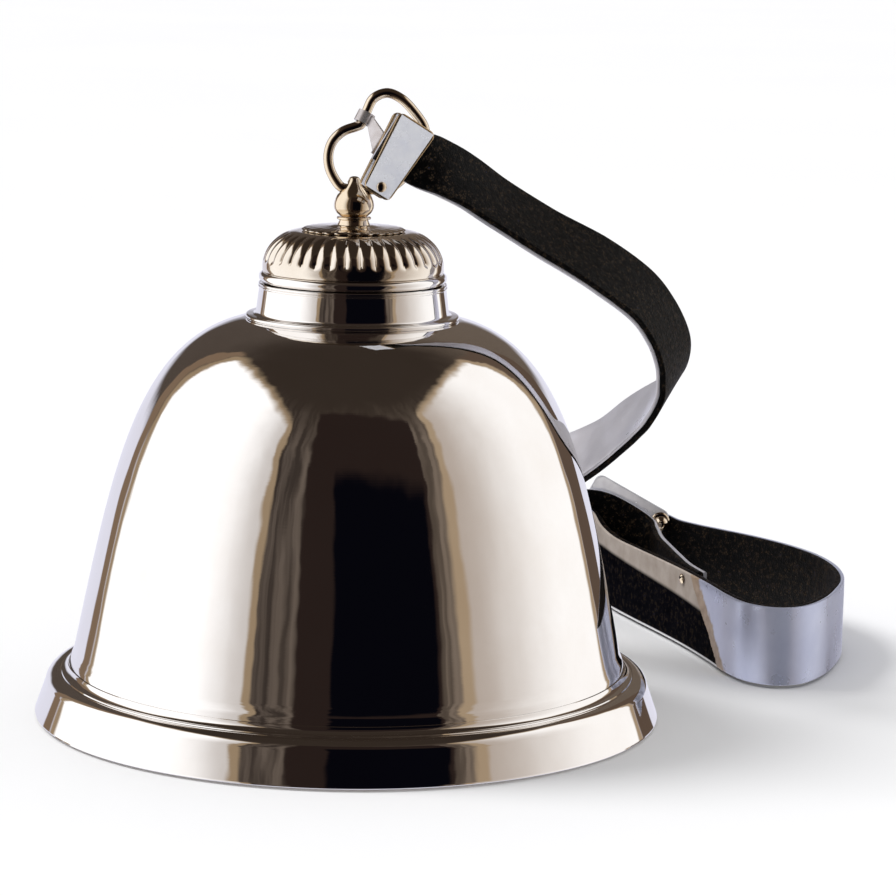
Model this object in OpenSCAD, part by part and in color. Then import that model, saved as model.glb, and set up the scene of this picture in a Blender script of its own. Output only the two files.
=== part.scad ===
// Table cowbell: a polished spun bell with a stepped foot, a fluted cap and a pear finial.
// A heart-shaped wire ring passes through the finial and carries a leather strap,
// which bends down behind the bell and ends in a loop that stands on its edge.
// Origin: centre of the mouth on the surface the bell stands on. +Z is up, front is -Y.

/* [Bell] */
// Radius of the mouth at the foot
mouth_r = 60; // [58:0.5:62]
// Wall thickness of the spun shell
wall = 1.6; // [1.2:0.1:2.0]
// Height of the flat crown that carries the neck
crown_z = 76.2; // [75.8:0.1:76.6]

/* [Neck and cap] */
// Radius of the flange at the foot of the neck
flange_r = 20.35; // [20:0.05:20.6]
// Radius of the neck at its foot
neck_r = 18.3; // [17.9:0.1:18.6]
// Radius of the plain band round the cap
cap_r = 17.2; // [16.8:0.1:17.4]
// Number of flutes round the cap
flutes = 36; // [24:2:44]

/* [Finial] */
// Height of the cross hole that holds the ring
cross_z = 100.9; // [100.6:0.1:101.1]
// Radius of the cross hole
cross_r = 1.35; // [1.25:0.05:1.4]
// Largest radius of the pear-shaped knob
finial_r = 3.8; // [3.6:0.1:4]

/* [Clapper] */
// Height of the middle of the fixed eye
eye_z = 64.6; // [64.2:0.1:65]
// Radius of the striking ball
ball_r = 10.5; // [9:0.5:11]
// Height of the middle of the ball when it hangs
ball_z = 19.5; // [18.5:0.5:21]

/* [Ring] */
// Radius of the ring's wire
ring_wire_r = 0.95; // [0.8:0.05:1]
// How far the ring leans back
ring_lean = 12; // [10:1:13]

/* [Strap] */
// Width of the leather
strap_w = 16; // [15:0.5:16.5]
// Thickness of the foil-faced layer
face_t = 0.8; // [0.6:0.1:0.9]
// Thickness of the grained lining
lining_t = 1.2; // [1:0.1:1.3]
// Length of the clip plates
plate_len = 15.6; // [15:0.1:16]
// Thickness of the clip plates
plate_t = 0.8; // [0.6:0.1:0.9]

/* [Hidden] */

$fn = 96;
eps = 0.01;
seat_gap = 0.05;            // parts that sit face to face are this far apart
nickel = [0.83, 0.80, 0.76];
steel = [0.62, 0.63, 0.65];
brass = [0.83, 0.66, 0.38];
foil = [0.80, 0.80, 0.86];
leather = [0.05, 0.05, 0.06];

// Bell
skirt_r = mouth_r - 6.7;    // the shell runs straight down inside the foot
skirt_z = 0.6;
waist = [mouth_r - 7.4, 12];
crown_r = flange_r + 0.25;
side_steps = 30;
stud_r = 2;
stud_bore_r = stud_r + 0.08;
bead_r = 1;
cap_z = crown_z + 9;        // foot of the cap
cap_top_z = crown_z + 16.7; // flat seat in the middle of the cap
seat_r = 10.4;
finial_z = 95.7;            // underside of the finial

// Clapper chain, from the eye down
eye_r = 3.4;
eye_wire_r = 1.2;
link_r = 3.6;
link_wire_r = 1;
hook_r = 3.2;
hook_wire_r = 1;
eye_low_z = eye_z - eye_r;
link_z = eye_low_z + eye_wire_r + link_wire_r + seat_gap - link_r;
link_low_z = link_z - link_r;
hook_z = link_low_z + link_wire_r + hook_wire_r + seat_gap - hook_r;

// Clip on the ring: middle, direction across the strap, direction along it
clip_mid = [7.4, -3.6, 107.2];
clip_across = unit([0.5, 0.15, 0.85]);
clip_along = square_to([0.853, 0.257, -0.455], clip_across);
clip_w = 8.2;
clip_low_w = 6;             // width at the riveted end
plate_front = -(lining_t + plate_t / 2 + 0.1);
plate_back = face_t + plate_t / 2 + 0.1;
clip_rivet_at = [-6.1, 0.2];  // along the plate, across it

// Where the hook grips the ring, in the ring's own plane
hook_at = [1.75, 13.5];
hook_turn = 26;             // the ring's wire leans this far from upright there

// Strap route: middle of the width, then the direction of the width
strap_route = [
    [[5.67, -4.12, 111.13], [0.5, 0.15, 0.85]],
    [[8.93, -3.14, 109.04], [0.5, 0.15, 0.85]],
    [[12.03, -2.21, 107.05], [0.5, 0.17, 0.85]],
    [[16.6, -0.9, 105.0], [0.4, 0.6, 0.69]],
    [[21.2, 1.6, 102.4], [0.3, 0.76, 0.58]],
    [[27.6, 4.6, 97.9], [0.33, 0.87, 0.36]],
    [[36.8, 8.5, 92.0], [0.33, 0.89, 0.3]],
    [[47.6, 12.5, 85.7], [0.34, 0.87, 0.35]],
    [[55.8, 16.0, 79.7], [0.35, 0.87, 0.33]],
    [[60.2, 18.5, 74.2], [0.37, 0.88, 0.28]],
    [[62.9, 21.0, 68.3], [0.39, 0.87, 0.27]],
    [[63.4, 23.0, 63.5], [0.38, 0.85, 0.37]],
    [[62.4, 24.6, 59.8], [0.33, 0.88, 0.32]],
    [[60.3, 26.9, 56.8], [0.22, 0.9, 0.36]],
    [[57.7, 29.5, 54.1], [0.13, 0.91, 0.38]],
    [[54.6, 32.6, 51.0], [0.08, 0.91, 0.4]],
    [[48.9, 38.0, 45.2], [0.1, 0.88, 0.46]],
    [[40.4, 46.6, 38.8], [0.12, 0.72, 0.68]],
    [[30.2, 55.8, 33.6], [0.12, 0.52, 0.84]],
    [[20.0, 64.8, 29.8], [0.07, 0.38, 0.92]],
    [[13.8, 75.0, 23.0], [0.0, 0.3, 0.95]],
    [[12.8, 86.0, 16.8], [0.0, 0.2, 0.98]],
    [[16.4, 96.6, 12.2], [0.0, 0.1, 1.0]],
    [[25.0, 105.6, 10.0], [0.0, 0.03, 1.0]],
    [[36.5, 111.4, 10.4], [-0.03, 0.0, 1.0]],
    [[46.6, 113.8, 13.4], [0.06, 0.0, 1.0]],
    [[54.0, 114.0, 15.4], [0.26, 0.0, 0.96]],
    [[60.0, 113.2, 13.2], [0.36, 0.0, 0.93]],
    [[65.6, 110.6, 9.8], [0.22, 0.0, 0.97]],
    [[68.0, 104.6, 8.6], [0.06, 0.0, 1.0]],
    [[68.8, 96.0, 8.3], [0.0, 0.0, 1.0]],
    [[69.8, 86.0, 8.3], [0.0, 0.0, 1.0]],
    [[70.9, 76.0, 8.3], [0.0, 0.0, 1.0]],
    [[72.2, 66.0, 8.3], [0.0, 0.0, 1.0]],
    [[74.4, 57.0, 8.3], [0.0, 0.0, 1.0]]
];
// The clip end is trimmed narrower than the rest
strap_narrow = [9.6, 9.8, 10.4, 11.2, 12.2, 14.0, 15.6];

// Loop that stands on its edge, seen from above, then the height of its middle
loop_route = [
    [[41.0, 109.8], 16.0], [[47.5, 111.2], 14.2], [[53.0, 109.0], 11.2],
    [[56.4, 102.8], 8.8], [[59.0, 94.0], 8.0], [[62.6, 83.0], 8.0],
    [[67.0, 70.5], 8.0], [[71.3, 57.5], 8.0], [[74.8, 45.0], 8.0],
    [[77.6, 34.0], 8.0], [[80.8, 26.6], 8.0], [[86.0, 23.0], 8.0],
    [[91.4, 25.0], 8.0], [[96.2, 32.2], 8.0], [[100.0, 42.0], 8.0],
    [[102.8, 53.0], 8.0], [[103.2, 65.0], 8.0], [[101.0, 77.0], 8.0],
    [[96.2, 88.0], 8.0], [[89.6, 97.8], 8.0], [[83.2, 105.2], 8.0],
    [[77.8, 110.8], 8.1], [[72.4, 114.7], 8.8], [[66.0, 117.0], 11.2],
    [[59.0, 118.4], 13.4]
];

// Closing: a plate behind the strap and a ball-headed stud through both leathers
closing_mid = [62.6, 115.1, 18.9];
closing_len = 19;
closing_along = unit([0.87, -0.17, -0.46]);
closing_up = square_to([0.36, 0.0, 0.93], closing_along);
stud_dir = unit([-0.05, 1, 0]);     // from the ball towards the back
stud_along = 7.8;                   // the stud's place along the plate
stud_up = 1.4;                      // and above its middle
stud_reach = 3.05;                  // from the plate to the middle of the ball
stud_at = closing_mid + stud_along * closing_along + stud_up * closing_up - stud_reach * stud_dir;
stud_ball_r = 1.5;
tail_rivet_at = [72.4, 58.8, 14.6];
joining_at = [[44, 112], [48.6, 112.8]];
joining_z = [10.8, 15.8];

// Vectors
function unit(v) = v / norm(v);
function square_to(v, along) = unit(v - (v * unit(along)) * unit(along));

// Curves
function bez(p, t) =
    pow(1 - t, 3) * p[0] + 3 * pow(1 - t, 2) * t * p[1] + 3 * (1 - t) * t * t * p[2] + pow(t, 3) * p[3];
function bez_dir(p, t) =
    unit((1 - t) * (1 - t) * (p[1] - p[0]) + 2 * (1 - t) * t * (p[2] - p[1]) + t * t * (p[3] - p[2]));
function arc(mid, r, from, to, n) =
    [for (i = [0:n]) mid + r * [cos(from + (to - from) * i / n), sin(from + (to - from) * i / n)]];
function spline(a, b, c, d, t) =
    0.5 * (2 * b + (c - a) * t + (2 * a - 5 * b + 4 * c - d) * t * t + (3 * b - a - 3 * c + d) * t * t * t);
function clamp_i(i, n) = max(0, min(n - 1, i));
function smooth(pts, steps) = [
    for (i = [0:len(pts) - 2]) for (s = [0:steps - 1])
        spline(pts[clamp_i(i - 1, len(pts))], pts[i], pts[i + 1], pts[clamp_i(i + 2, len(pts))], s / steps),
    pts[len(pts) - 1]
];
function direction(pts, i) = unit(pts[clamp_i(i + 1, len(pts))] - pts[clamp_i(i - 1, len(pts))]);

// Outside of the shell's side, and the same curve one wall further in
side_curve = [waist, [45.6, 45.6], [41.3, 72], [crown_r, crown_z]];
side_outer = [for (i = [0:side_steps]) bez(side_curve, i / side_steps)];
side_inner = [
    for (i = [side_steps:-1:0])
        let (d = bez_dir(side_curve, i / side_steps)) bez(side_curve, i / side_steps) - wall * [d.y, -d.x]
];

// Solid of revolution about the bell's axis
module turned(profile, sides = 96) {
    rotate_extrude($fn = sides) polygon(profile);
}

module ring_solid(mean_r, wire_r, turn) {
    rotate(turn) rotate_extrude() translate([mean_r, 0]) circle(wire_r, $fn = 40);
}

module bell_shell() {
    inner_crown_z = crown_z - wall;
    color(nickel) turned(concat(
        [[skirt_r - wall, skirt_z], [skirt_r, skirt_z], [skirt_r, waist.y - 2.4]],
        side_outer,
        [[stud_bore_r, crown_z], [stud_bore_r, inner_crown_z], [crown_r - wall, inner_crown_z]],
        [for (p = side_inner) if (p.y < inner_crown_z - 0.3) p],
        [[skirt_r - wall, waist.y - 3]]
    ));
}

module mouth_rim() {
    inner_r = skirt_r + seat_gap;
    band_top = [mouth_r - 4.4, 5.9];
    cove = [mouth_r - 5.05, 9.85];
    color(nickel) turned(concat(
        [[inner_r, 0], [mouth_r - 0.7, 0], [mouth_r - 0.15, 0.3], [mouth_r, 0.9]],
        arc(band_top, 2.4, 8, 104, 10),
        arc(cove, 1.45, 268, 184, 7),
        [[inner_r, cove.y - 0.05]]
    ));
}

module neck_collar() {
    foot_z = crown_z + seat_gap;
    top_z = crown_z + 6.9;
    hollow_r = neck_r - 3;
    color(nickel) turned(concat(
        [[hollow_r, foot_z], [flange_r - 0.2, foot_z]],
        arc([flange_r - 0.4, foot_z + 0.45], 0.4, -60, 90, 6),
        arc([neck_r + 0.75, foot_z + 1.6], 0.75, 270, 184, 5),
        [[neck_r - 0.55, top_z - 0.95], [neck_r - 0.35, top_z - 0.85], [neck_r - 0.35, top_z - 0.6],
         [neck_r - 0.6, top_z - 0.5], [neck_r - 0.4, top_z - 0.38], [neck_r - 0.4, top_z - 0.12],
         [neck_r - 0.55, top_z], [hollow_r, top_z]]
    ));
}

module bead_ring() {
    mid_z = crown_z + 6.95 + bead_r;
    color(nickel) turned(concat(
        [[neck_r - 3, mid_z - bead_r]],
        arc([cap_r - 0.35, mid_z], bead_r, -90, 90, 12),
        [[neck_r - 3, mid_z + bead_r]]
    ));
}

// Cap outline from the plain band to the flat seat, as distance s from 0 to 1
cap_curve = [[cap_r, cap_z + 1.1], [cap_r - 0.1, cap_z + 4.6], [cap_r - 3.2, cap_top_z], [seat_r, cap_top_z]];
flute_depth = 0.42;
function flute_window(s) = s < 0.06 || s > 0.86 ? 0 : min(1, (s - 0.06) / 0.1, (0.86 - s) / 0.16);
function flute_inset(s, a) = flute_depth * flute_window(s) * (1 - abs(cos(a * flutes / 2)));

// Two triangles between the rings that start at point a and point b. The second half of a ring is
// split the other way, so that two layers of leather share one twisted surface.
function skin(a, b, i, j, n) = i < n / 2
    ? [[a + i, a + j, b + j], [a + i, b + j, b + i]]
    : [[a + i, a + j, b + i], [a + j, b + j, b + i]];

// Closed solid lofted through rings of points, all rings alike
module loft(rings) {
    n = len(rings[0]);
    last = len(rings) - 1;
    polyhedron(
        points = [for (r = rings) for (p = r) p],
        faces = concat(
            [for (k = [0:last - 1]) for (i = [0:n - 1]) for (f = skin(k * n, (k + 1) * n, i, (i + 1) % n, n)) f],
            [[for (i = [n - 1:-1:0]) i]],
            [[for (i = [0:n - 1]) last * n + i]]
        )
    );
}

// Same, closed on itself: the last ring joins the first
module closed_loft(rings) {
    n = len(rings[0]);
    count = len(rings);
    polyhedron(
        points = [for (r = rings) for (p = r) p],
        faces = [for (k = [0:count - 1]) for (i = [0:n - 1])
            for (f = skin(k * n, (k + 1) % count * n, i, (i + 1) % n, n)) f]
    );
}

module fluted_cap() {
    around = flutes * 4;
    rows = 12;
    cap_wall = 1;
    color(nickel) difference() {
        loft(concat(
            [for (z = [cap_z, cap_z + 1.1]) [for (i = [0:around - 1])
                let (a = 360 * i / around) [cap_r * cos(a), cap_r * sin(a), z]]],
            [for (k = [1:rows]) [for (i = [0:around - 1])
                let (a = 360 * i / around, p = bez(cap_curve, k / rows), r = p.x - flute_inset(k / rows, a))
                [r * cos(a), r * sin(a), p.y]]]
        ));
        translate([0, 0, cap_z - eps]) cylinder(r = cap_r - 2.2, h = cap_top_z - cap_z - 2.6);
        translate([0, 0, cap_z]) cylinder(r = seat_r - 0.6, h = cap_top_z - cap_z - cap_wall);
        cylinder(r = stud_bore_r, h = 2 * cap_z);
    }
}

module cap_rosette() {
    petals = 24;
    around = petals * 4;
    petal_depth = 0.3;
    rise = [[9.7, 0], [9.9, 0.25], [9.2, 0.62], [7.2, 0.82], [5.4, 0.9], [3.6, 1.15]];
    base_z = cap_top_z + seat_gap;
    color(nickel) difference() {
        loft([for (p = rise) [for (i = [0:around - 1])
            let (a = 360 * i / around, r = p.x - (p.x > 5 ? petal_depth * (1 - abs(cos(a * petals / 2))) : 0))
            [r * cos(a), r * sin(a), base_z + p.y]]]);
        cylinder(r = stud_bore_r, h = 2 * base_z);
    }
}

module finial_stem() {
    foot_z = cap_top_z + 1.25;
    color(brass) turned([
        [stud_bore_r, foot_z], [3.15, foot_z], [3.0, foot_z + 0.25], [2.75, foot_z + 0.9],
        [3.0, finial_z - 0.55], [3.25, finial_z - 0.45], [3.25, finial_z - 0.15], [3.1, finial_z - seat_gap],
        [stud_bore_r, finial_z - seat_gap]
    ]);
}

module finial() {
    belly_z = finial_z + 2;
    tip_z = cross_z + 2.4;
    pear = [[finial_r, belly_z], [finial_r, belly_z + 2.3], [1.7, cross_z + 0.1], [0.95, tip_z - 0.35]];
    color(brass) difference() {
        turned(concat(
            [[0, finial_z], [2.6, finial_z]],
            arc([finial_r - 2, belly_z], 2, -60, 0, 8),
            [for (i = [1:14]) bez(pear, i / 14)],
            [[0.5, tip_z - 0.05], [0, tip_z]]
        ));
        translate([0, 0, finial_z - eps]) cylinder(r = stud_bore_r, h = 2.6);
        translate([0, 0, cross_z]) rotate([0, 90, 0]) cylinder(r = cross_r, h = 12, center = true);
    }
}

module centre_stud() {
    low_z = eye_z + 3.8;
    color(steel) translate([0, 0, low_z]) cylinder(r = stud_r, h = finial_z + 2.3 - low_z);
}

module crown_washer() {
    top_z = crown_z - wall - seat_gap;
    color(steel) turned([
        [stud_bore_r, top_z - 1.4], [5, top_z - 1.4], [9.6, top_z - 1.0], [10, top_z - 0.6],
        [10, top_z], [stud_bore_r, top_z]
    ]);
}

module crown_nut() {
    top_z = crown_z - wall - 1.4 - 2 * seat_gap;
    color(steel) difference() {
        translate([0, 0, top_z - 3.2]) cylinder(r = 4.1, h = 3.2, $fn = 6);
        translate([0, 0, top_z - 4]) cylinder(r = stud_bore_r, h = 6);
    }
}

module clapper_eye() {
    boss_low = eye_z + eye_r - 0.6;
    boss_top = crown_z - wall - 4.6 - 3 * seat_gap;
    color(steel) difference() {
        union() {
            translate([0, 0, eye_z]) ring_solid(eye_r, eye_wire_r, [90, 0, 0]);
            translate([0, 0, boss_low]) cylinder(r = 3, h = boss_top - boss_low);
        }
        translate([0, 0, eye_z + 3.7]) cylinder(r = stud_bore_r, h = 10);
    }
}

module clapper_link() {
    color(steel) translate([0, 0, link_z]) ring_solid(link_r, link_wire_r, [0, 90, 0]);
}

module clapper_rod() {
    color(steel) {
        translate([0, 0, hook_z]) ring_solid(hook_r, hook_wire_r, [90, 0, 0]);
        turned([
            [0, ball_z - ball_r - 1.9], [1.4, ball_z - ball_r - 1.9], [1.4, ball_z - ball_r + 1],
            [1.8, ball_z - ball_r + 1], [1.8, ball_z + ball_r], [2.3, ball_z + ball_r + 0.8],
            [1.7, hook_z - hook_r - 4], [1.3, hook_z - hook_r - 0.4], [0, hook_z - hook_r - 0.4]
        ]);
    }
}

module clapper_ball() {
    color(brass) difference() {
        translate([0, 0, ball_z]) sphere(ball_r);
        cylinder(r = 1.85, h = ball_z + 2 * ball_r);
    }
}

module clapper_tip_nut() {
    top_z = ball_z - ball_r + 0.12;
    color(steel) difference() {
        translate([0, 0, top_z - 1.7]) cylinder(r = 2.9, h = 1.7 - seat_gap, $fn = 6);
        translate([0, 0, top_z - 4]) cylinder(r = 1.43, h = 6);
    }
}

// Middle of the ring's wire in the ring's own plane: right is +x, up is +y, the hole is at 0,0
heart_points = [
    [0, 0], [-2.3, 0.2], [-3.8, 1.9], [-4.8, 4.2], [-4.95, 6.7], [-4.1, 9.1], [-2.2, 10.9],
    [0.4, 11.9], [1.2, 12.5], [2.2, 14.9], [3.2, 17.0], [4.9, 18.1], [6.7, 18.2], [9.0, 17.0],
    [11.2, 14.7], [13.0, 12.0], [13.1, 9.6], [12.1, 6.6], [10.2, 3.4], [8.0, 1.1], [5.8, 0.1],
    [3.8, -0.1], [2.3, -0.05]
];
heart_steps = 3;
heart_sides = 12;
heart_count = len(heart_points);
function heart_point(i) = heart_points[(i + heart_count) % heart_count];
heart_path = [for (i = [0:heart_count - 1]) for (s = [0:heart_steps - 1])
    spline(heart_point(i - 1), heart_point(i), heart_point(i + 1), heart_point(i + 2), s / heart_steps)];

module lean_with_ring() {
    translate([0, 0, cross_z]) rotate([-ring_lean, 0, 0]) children();
}

module heart_ring() {
    n = len(heart_path);
    color(brass) lean_with_ring() closed_loft([
        for (k = [0:n - 1])
            let (t = unit(heart_path[(k + 1) % n] - heart_path[(k + n - 1) % n]), out = [-t.y, t.x])
            [for (i = [0:heart_sides - 1])
                let (a = 360 * i / heart_sides, d = ring_wire_r * cos(a) * out)
                [heart_path[k].x + d.x, ring_wire_r * sin(a), heart_path[k].y + d.y]]
    ]);
}

// Puts a flat piece in a plane: first axis along, second axis up, third axis out of the plane
module in_plane(mid, along, up) {
    out = cross(along, up);
    multmatrix([
        [along.x, up.x, out.x, mid.x],
        [along.y, up.y, out.y, mid.y],
        [along.z, up.z, out.z, mid.z],
        [0, 0, 0, 1]
    ]) children();
}

module rounded_plate(length, width, thick, corner) {
    linear_extrude(thick, center = true) union() {
        square([length - 2 * corner, width], center = true);
        square([length, width - 2 * corner], center = true);
        for (x = [-1, 1], y = [-1, 1])
            translate([x * (length / 2 - corner), y * (width / 2 - corner)]) circle(corner, $fn = 32);
    }
}

// The clip's plane: first axis across the strap, second along it, third towards the back
module clip_plane(offset) {
    in_plane(clip_mid, clip_across, clip_along) translate([0, 0, offset]) children();
}

// A plate that narrows towards its riveted end
module clip_plate() {
    corner = 1.2;
    x = plate_len / 2 - corner;
    y = [clip_w / 2 - corner, clip_low_w / 2 - corner];
    linear_extrude(plate_t, center = true) difference() {
        polygon(concat(
            arc([x, y[0]], corner, 0, 90, 8), arc([-x, y[1]], corner, 90, 180, 8),
            arc([-x, -y[1]], corner, 180, 270, 8), arc([x, -y[0]], corner, 270, 360, 8)
        ));
        translate(clip_rivet_at) circle(0.75);
    }
}

module clip_front_plate() {
    color(foil) clip_plane(plate_front) clip_plate();
}

module clip_back_plate() {
    color(foil) clip_plane(plate_back) clip_plate();
}

module clip_rivet() {
    reach = plate_back - plate_front + plate_t + 0.04;
    color(brass) clip_plane((plate_back + plate_front) / 2) translate(clip_rivet_at) turned_rivet(0.7, 1, reach);
}

// A tongue from the back plate that ends in a band round the ring's wire
module clip_hook() {
    band_in = ring_wire_r + 0.3;
    band_out = band_in + 0.45;
    band_w = 2.2;
    tongue_w = 4.4;
    tongue_t = 0.6;
    mid = ring_point(hook_at);
    wire_dir = ring_dir([sin(hook_turn), cos(hook_turn)]);
    back = cross(clip_across, clip_along);
    root = clip_mid + 0.8 * clip_across - 3 * clip_along
        + (plate_back + (plate_t + tongue_t) / 2 + seat_gap) * back;
    reach = square_to(root - mid, wire_dir);
    color(foil) {
        in_plane(mid, reach, cross(wire_dir, reach)) difference() {
            cylinder(r = band_out, h = band_w, center = true);
            cylinder(r = band_in, h = 2 * band_w, center = true);
        }
        hull() {
            in_plane(mid, reach, cross(wire_dir, reach)) translate([band_in + 0.22, 0, 0])
                cube([0.2, 0.6, band_w - 0.5], center = true);
            in_plane(root, clip_across, clip_along) cube([tongue_w - 0.4, 0.8, tongue_t - 0.2], center = true);
        }
        in_plane(root, clip_across, clip_along) translate([0, 1.5, 0])
            cube([tongue_w, 4.4, tongue_t], center = true);
    }
}

function ring_point(p) =
    [p.x, p.y * sin(ring_lean), cross_z + p.y * cos(ring_lean)];
function ring_dir(d) = unit([d.x, d.y * sin(ring_lean), d.y * cos(ring_lean)]);

// Leather: a flat band swept along a route, from one side of its middle surface to the other
module band(pts, across, widths, low, high) {
    n = len(pts);
    loft([for (k = [0:n - 1])
        let (t = direction(pts, k), g = square_to(across[k], t), out = cross(t, g), w = widths[k] / 2)
        [pts[k] - w * g + low * out, pts[k] + w * g + low * out,
         pts[k] + w * g + high * out, pts[k] - w * g + high * out]
    ]);
}

route_steps = 3;
strap_pts = smooth([for (s = strap_route) s[0]], route_steps);
strap_across = smooth([for (s = strap_route) s[1]], route_steps);
strap_widths = smooth(
    [for (i = [0:len(strap_route) - 1]) i < len(strap_narrow) ? strap_narrow[i] : strap_w], route_steps);
loop_pts = smooth([for (s = loop_route) [s[0].x, s[0].y, s[1] + 0.3]], route_steps);
loop_across = [for (p = loop_pts) [0, 0, 1]];
loop_widths = [for (p = loop_pts) strap_w];

module strap_face() {
    color(foil) band(strap_pts, strap_across, strap_widths, -face_t, -seat_gap);
}

module strap_lining() {
    color(leather) band(strap_pts, strap_across, strap_widths, 0, lining_t);
}

module loop_face() {
    color(foil) band(loop_pts, loop_across, loop_widths, seat_gap, face_t);
}

module loop_lining() {
    color(leather) band(loop_pts, loop_across, loop_widths, -lining_t, 0);
}

module closing_plate() {
    color(foil) difference() {
        in_plane(closing_mid, closing_along, closing_up) rounded_plate(closing_len, 8, plate_t, 1.8);
        on_stud() cylinder(r = 0.8, h = 6);
    }
}

// Stands a turned piece on the stud's axis, ball end at the origin
module on_stud() {
    side = [-stud_dir.y, stud_dir.x, 0];
    in_plane(stud_at, side, cross(stud_dir, side)) children();
}

module ball_stud() {
    neck_len = 6.3;
    color(brass) on_stud() {
        sphere(stud_ball_r, $fn = 40);
        cylinder(r = 0.75, h = neck_len);
        translate([0, 0, neck_len]) cylinder(r = 2, h = 0.7);
    }
}

module stud_washer() {
    color(brass) on_stud() translate([0, 0, 1.4]) rotate_extrude()
        polygon([[0.8, 0], [1.7, 0], [2.1, 0.3], [2.1, 0.7], [0.8, 0.7]]);
}

module turned_rivet(shank_r, head_r, length) {
    head = [[shank_r, 0], [head_r, 0], [0.9 * head_r, 0.22 * head_r], [0.5 * head_r, 0.42 * head_r]];
    turned(concat(
        [[0, -length / 2 - 0.45 * head_r]],
        [for (i = [3:-1:0]) [head[i].x, -length / 2 - head[i].y]],
        [for (p = head) [p.x, length / 2 + p.y]],
        [[0, length / 2 + 0.45 * head_r]]
    ), 48);
}

module small_rivet(at, dir, length) {
    side = square_to([0, 0, 1], dir);
    in_plane(at, side, cross(unit(dir), side)) turned_rivet(0.6, 1.1, length);
}

module tail_rivet() {
    color(brass) small_rivet(tail_rivet_at, [0.95, 0.31, 0], 5);
}

module joining_rivets() {
    color(brass) for (p = joining_at, z = joining_z) small_rivet([p.x, p.y, z], [-0.2, 0.98, 0], 4.4);
}

bell_shell();
mouth_rim();
neck_collar();
bead_ring();
fluted_cap();
cap_rosette();
finial_stem();
finial();
centre_stud();
crown_washer();
crown_nut();
clapper_eye();
clapper_link();
clapper_rod();
clapper_ball();
clapper_tip_nut();
heart_ring();
clip_front_plate();
clip_back_plate();
clip_hook();
clip_rivet();
strap_face();
strap_lining();
loop_face();
loop_lining();
closing_plate();
ball_stud();
stud_washer();
tail_rivet();
joining_rivets();
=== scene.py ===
"""Looks of the table cowbell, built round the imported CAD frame. Lengths in mm are scaled by MM."""
import math

import bmesh
import bpy
from mathutils import Matrix, Vector


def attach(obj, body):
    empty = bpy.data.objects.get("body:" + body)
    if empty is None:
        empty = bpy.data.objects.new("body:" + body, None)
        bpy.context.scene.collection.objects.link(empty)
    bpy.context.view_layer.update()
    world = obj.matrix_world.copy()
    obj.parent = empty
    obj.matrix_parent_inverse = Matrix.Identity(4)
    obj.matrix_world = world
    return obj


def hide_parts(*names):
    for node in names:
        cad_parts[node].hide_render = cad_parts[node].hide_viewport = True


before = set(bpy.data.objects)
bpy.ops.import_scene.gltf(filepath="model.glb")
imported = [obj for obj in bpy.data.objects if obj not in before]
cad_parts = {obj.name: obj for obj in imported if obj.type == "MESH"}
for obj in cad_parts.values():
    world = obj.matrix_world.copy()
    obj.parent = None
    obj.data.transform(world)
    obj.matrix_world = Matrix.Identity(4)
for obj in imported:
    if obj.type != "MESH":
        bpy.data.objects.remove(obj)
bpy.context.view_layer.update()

MM = 0.001

# ---------------------------------------------------------------- shape values, as in the CAD
MOUTH_R, WALL, CROWN_Z = 60.0, 1.6, 76.2
FLANGE_R, NECK_R, CAP_R = 20.35, 18.3, 17.2
FLUTES, PETALS = 36, 24
CROSS_Z, CROSS_R, FINIAL_R, FINIAL_Z = 100.9, 1.35, 3.8, 95.7
SKIRT_R, SKIRT_Z = MOUTH_R - 6.7, 0.6
WAIST = (MOUTH_R - 7.4, 12)
CROWN_R = FLANGE_R + 0.25
SIDE = [WAIST, (45.6, 45.6), (41.3, 72), (CROWN_R, CROWN_Z)]
STUD_BORE = 2.08
HOLLOW_R = NECK_R - 3
CAP_Z, CAP_TOP_Z, SEAT_R = CROWN_Z + 9, CROWN_Z + 16.7, 10.4
WIRE_R, RING_LEAN = 0.95, math.radians(12)
STRAP_W, FACE_T, LINING_T, SEAT_GAP = 16, 0.8, 1.2, 0.05
PLATE_LEN, PLATE_T, CLIP_W, CLIP_LOW_W = 15.6, 0.8, 8.2, 6
PLATE_FRONT, PLATE_BACK = -(LINING_T + PLATE_T / 2 + 0.1), FACE_T + PLATE_T / 2 + 0.1
EDGE_R, PLATE_BEVEL = 0.3, 0.18

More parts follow.
